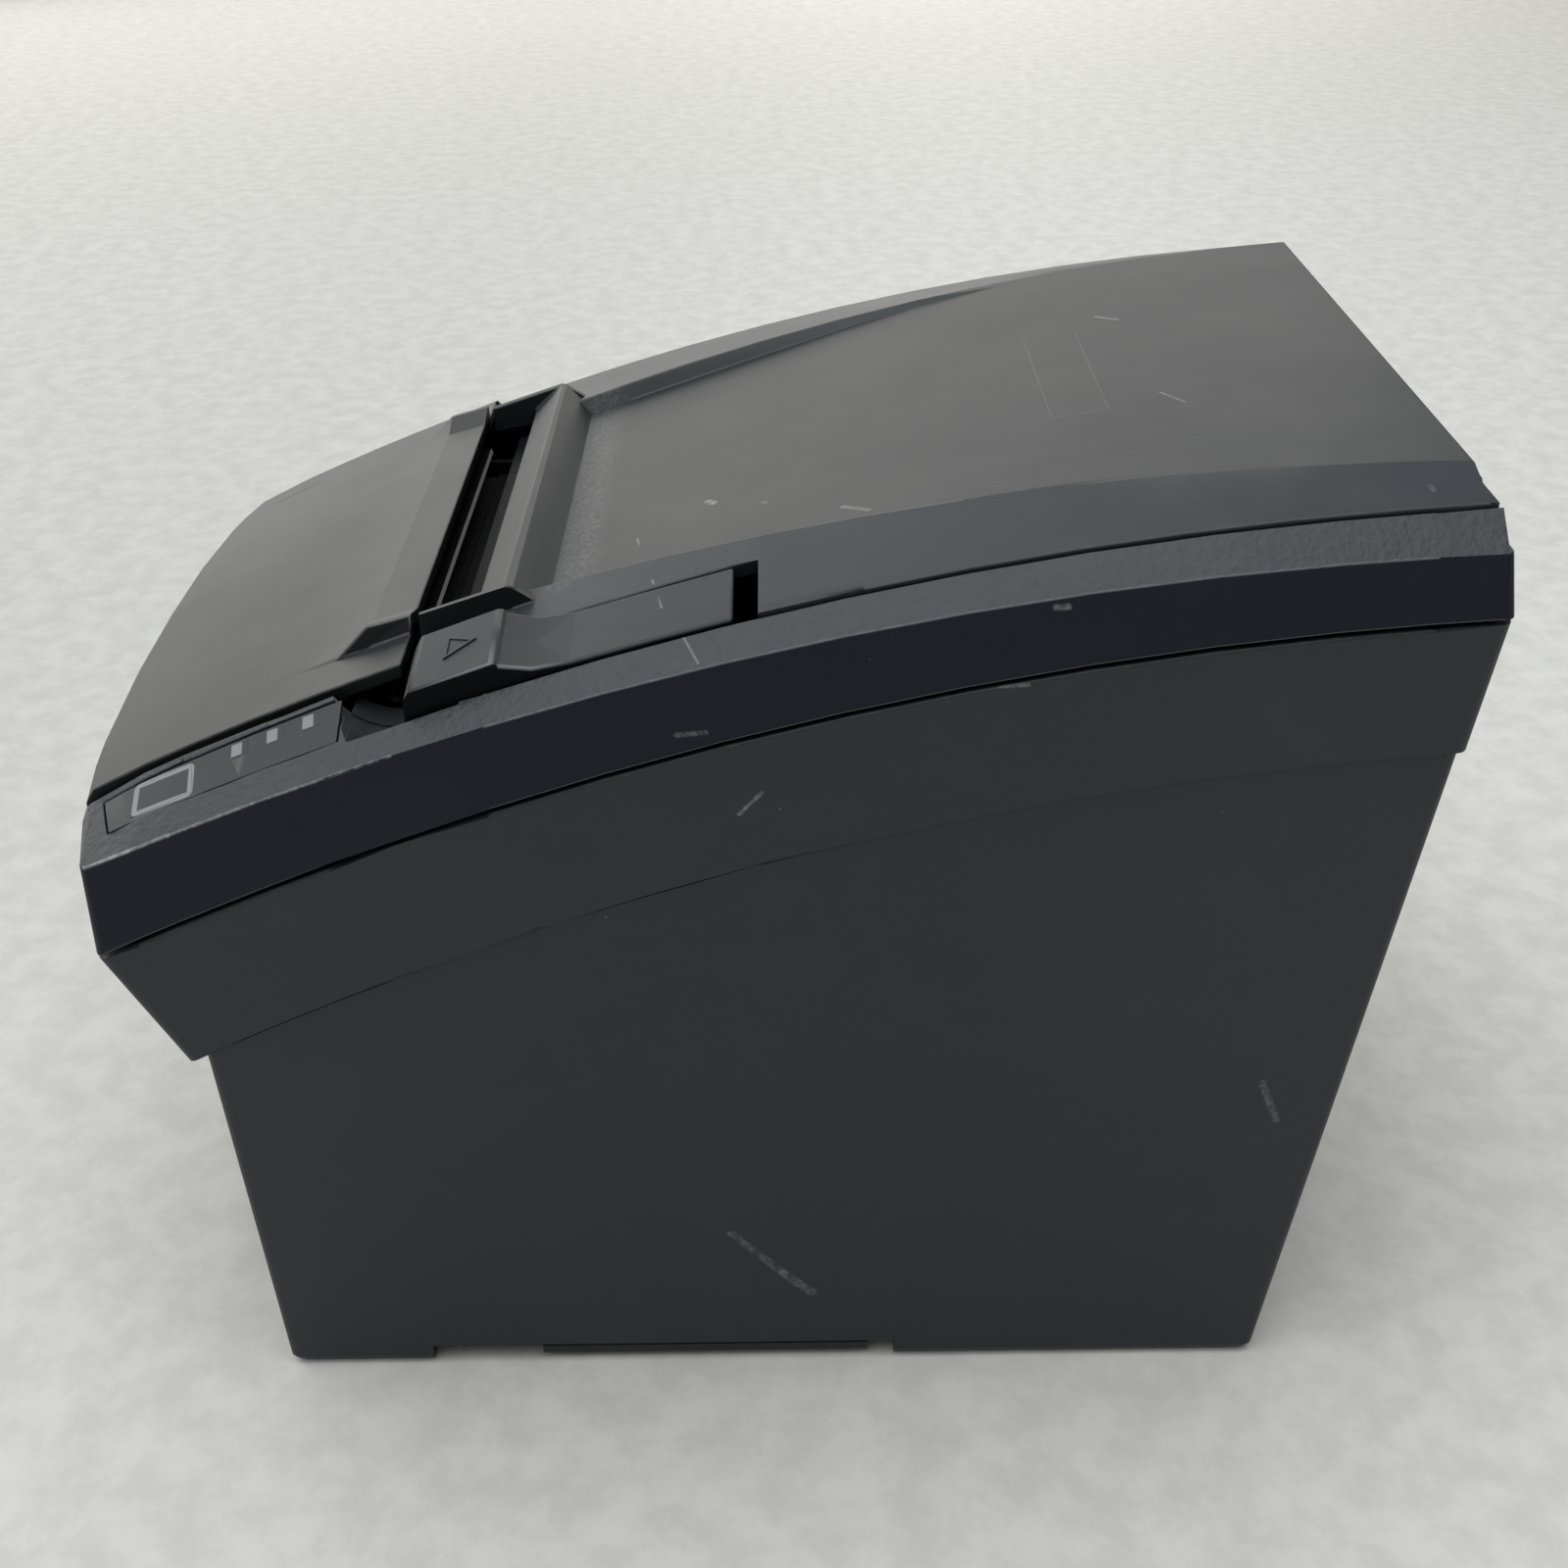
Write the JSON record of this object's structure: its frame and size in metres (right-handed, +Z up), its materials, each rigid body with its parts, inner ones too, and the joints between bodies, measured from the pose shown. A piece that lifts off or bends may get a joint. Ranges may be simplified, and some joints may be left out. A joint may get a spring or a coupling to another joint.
{
  "type": "receipt printer",
  "caption": "Desktop thermal receipt printer with a rear-hinged paper cover, paper well, platen and cutter drive, sliding front cover, push lever and control strip.",
  "frame": {"origin": "middle of the footprint on the table, under the rubber feet", "axes": "+Z up, front with the paper exit side faces -Y, control strip and lever on +X"},
  "size_m": [0.145, 0.197, 0.1461],
  "materials": {
    "tub_plastic": "fine matte texture",
    "band_plastic": "fine matte texture",
    "cover_plastic": "fine matte texture",
    "black_plastic": "matte",
    "steel": "brushed",
    "alloy": "satin",
    "rubber": "matte",
    "gear_plastic": "satin",
    "board": "satin",
    "lens": "satin",
    "head_ceramic": "glazed"
  },
  "bodies": {
    "case": {"lower_case": "tub_plastic", "upper_case": "band_plastic", "control_panel": "black_plastic", "paper_well": "black_plastic", "paper_end_sensor": "black_plastic", "near_end_sensor": "black_plastic", "power_inlet": "black_plastic", "data_port": "black_plastic", "drawer_port": "black_plastic", "switch_body": "black_plastic", "bottom_plate": "steel", "hinge_pin_left": "steel", "hinge_pin_right": "steel", "idler_stud": "steel", "feed_motor": "steel", "cutter_frame": "steel", "cutter_motor": "steel", "mechanism_frame": "steel", "head_spring_left": "steel", "head_spring_right": "steel", "paper_guide": "steel", "interface_panel": "steel", "heat_sink": "alloy", "foot_front_left": "rubber", "foot_front_right": "rubber", "foot_rear_left": "rubber", "foot_rear_right": "rubber", "main_board": "board", "lens_power": "lens", "lens_error": "lens", "lens_paper": "lens", "print_head": "head_ceramic"},
    "paper_cover": {"paper_cover": "cover_plastic", "platen_holder": "steel", "platen_bush_left": "gear_plastic", "platen_bush_right": "gear_plastic", "fixed_blade": "steel"},
    "platen": {"platen_shaft": "steel", "platen_rubber": "rubber", "platen_gear": "gear_plastic"},
    "front_cover": {"front_cover": "cover_plastic", "tear_bar": "steel"},
    "cover_lever": {"cover_lever": "cover_plastic"},
    "feed_button": {"feed_button": "black_plastic"},
    "idler_gear": {"idler_gear": "gear_plastic"},
    "motor_pinion": {"motor_pinion": "steel"},
    "moving_blade": {"moving_blade": "steel"},
    "crank_gear": {"crank_gear": "gear_plastic"},
    "cutter_pinion": {"cutter_pinion": "steel"},
    "power_rocker": {"power_rocker": "black_plastic"}
  },
  "joints": [
    {"name": "paper_cover_hinge", "type": "hinge", "parent": "case", "child": "paper_cover", "pos_m": [0, 0.0945, 0.1406], "axis": [-1, 0, 0], "range_deg": [0, 85]},
    {"name": "lever_slide", "type": "slide", "parent": "case", "child": "cover_lever", "axis": [0, 0.9576, 0.288], "range_m": [0, 0.003], "stiffness_N_per_m": 400, "springref_m": -0.003},
    {"name": "feed_button_press", "type": "slide", "parent": "case", "child": "feed_button", "axis": [-0.3606, 0.3827, -0.8506], "range_m": [0, 0.0005], "stiffness_N_per_m": 1500, "springref_m": -0.0004},
    {"name": "front_cover_slide", "type": "slide", "parent": "case", "child": "front_cover", "axis": [0, -1, 0], "range_m": [0, 0.02]},
    {"name": "platen_spin", "type": "hinge", "parent": "paper_cover", "child": "platen", "pos_m": [0, -0.0365, 0.10647], "axis": [1, 0, 0], "continuous": true},
    {"name": "idler_spin", "type": "hinge", "parent": "case", "child": "idler_gear", "pos_m": [-0.05375, -0.04, 0.08663], "axis": [1, 0, 0], "continuous": true},
    {"name": "pinion_spin", "type": "hinge", "parent": "case", "child": "motor_pinion", "pos_m": [-0.05375, -0.05, 0.07196], "axis": [1, 0, 0], "continuous": true},
    {"name": "blade_slide", "type": "slide", "parent": "case", "child": "moving_blade", "axis": [0, 0.9397, 0.342], "range_m": [0, 0.008]},
    {"name": "crank_turn", "type": "hinge", "parent": "case", "child": "crank_gear", "pos_m": [-0.018, -0.06579, 0.10763], "axis": [0, -0.342, 0.9397], "range_deg": [0, 180]},
    {"name": "cutter_pinion_turn", "type": "hinge", "parent": "case", "child": "cutter_pinion", "pos_m": [-0.01138, -0.07537, 0.10414], "axis": [0, -0.342, 0.9397], "range_deg": [-540, 0]},
    {"name": "rocker_turn", "type": "hinge", "parent": "case", "child": "power_rocker", "pos_m": [-0.0662, -0.05, 0.031], "axis": [0, 1, 0], "range_deg": [-7, 7]}
  ],
  "couplings": [
    {"joint": "idler_spin", "follows": "platen_spin", "ratio": -0.5625},
    {"joint": "pinion_spin", "follows": "platen_spin", "ratio": 1.5},
    {"joint": "crank_turn", "follows": "blade_slide", "rad_per_m": 392.7},
    {"joint": "cutter_pinion_turn", "follows": "blade_slide", "rad_per_m": -1178.1}
  ]
}
